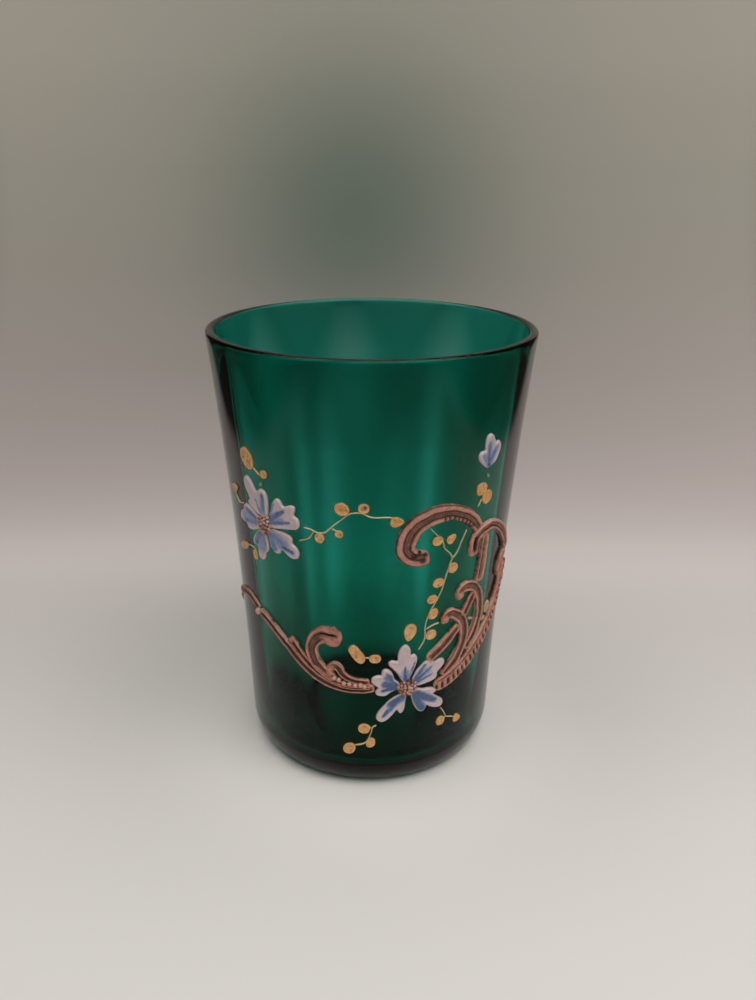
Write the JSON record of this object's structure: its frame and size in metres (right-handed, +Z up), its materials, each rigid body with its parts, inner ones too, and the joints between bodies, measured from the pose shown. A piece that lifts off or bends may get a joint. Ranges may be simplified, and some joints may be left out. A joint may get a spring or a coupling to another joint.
{
  "type": "enamelled glass tumbler",
  "caption": "Round tapered drinking glass of green glass with nine inner optic panels and raised enamel scrolls, flowers and gold sprigs on its wall.",
  "frame": {"origin": "centre of the foot, on the surface that the tumbler stands on", "axes": "+Z up along the glass's axis, -Y towards the decorated front, +X to the right seen from the front"},
  "size_m": [0.0714, 0.0714, 0.1],
  "materials": {
    "green_glass": "gloss",
    "pink_enamel": "satin",
    "flower_enamel": "gloss",
    "centre_enamel": "satin",
    "gold_enamel": "satin"
  },
  "bodies": {
    "root": {"glass_body": "green_glass", "left_flower_centre": "centre_enamel", "left_flower_petal_1": "flower_enamel", "left_flower_petal_2": "flower_enamel", "left_flower_petal_3": "flower_enamel", "left_flower_petal_4": "flower_enamel", "left_flower_petal_5": "flower_enamel", "low_flower_centre": "centre_enamel", "low_flower_petal_1": "flower_enamel", "low_flower_petal_2": "flower_enamel", "low_flower_petal_3": "flower_enamel", "low_flower_petal_4": "flower_enamel", "low_flower_petal_5": "flower_enamel", "bud_petals": "flower_enamel", "bud_dot": "gold_enamel", "bud_leaves": "gold_enamel", "rope_band": "pink_enamel", "right_crook": "pink_enamel", "upper_crook": "pink_enamel", "right_volute": "pink_enamel", "middle_crook": "pink_enamel", "stem_scroll": "pink_enamel", "lower_crook": "pink_enamel", "strut_scroll": "pink_enamel", "diagonal_scroll": "pink_enamel", "left_crook": "pink_enamel", "left_curl": "pink_enamel", "left_inner_band": "pink_enamel", "left_band": "pink_enamel", "left_tail": "pink_enamel", "top_left_sprig": "gold_enamel", "left_flower_dot": "gold_enamel", "side_left_sprig": "gold_enamel", "low_left_sprig": "gold_enamel", "middle_sprig": "gold_enamel", "vine_sprig": "gold_enamel", "vine_leaf": "gold_enamel", "single_leaf": "gold_enamel", "double_leaf": "gold_enamel", "bottom_left_sprig": "gold_enamel", "bottom_right_sprig": "gold_enamel", "right_leaf": "gold_enamel", "right_stub_1": "gold_enamel", "right_stub_2": "gold_enamel"}
  },
  "joints": []
}
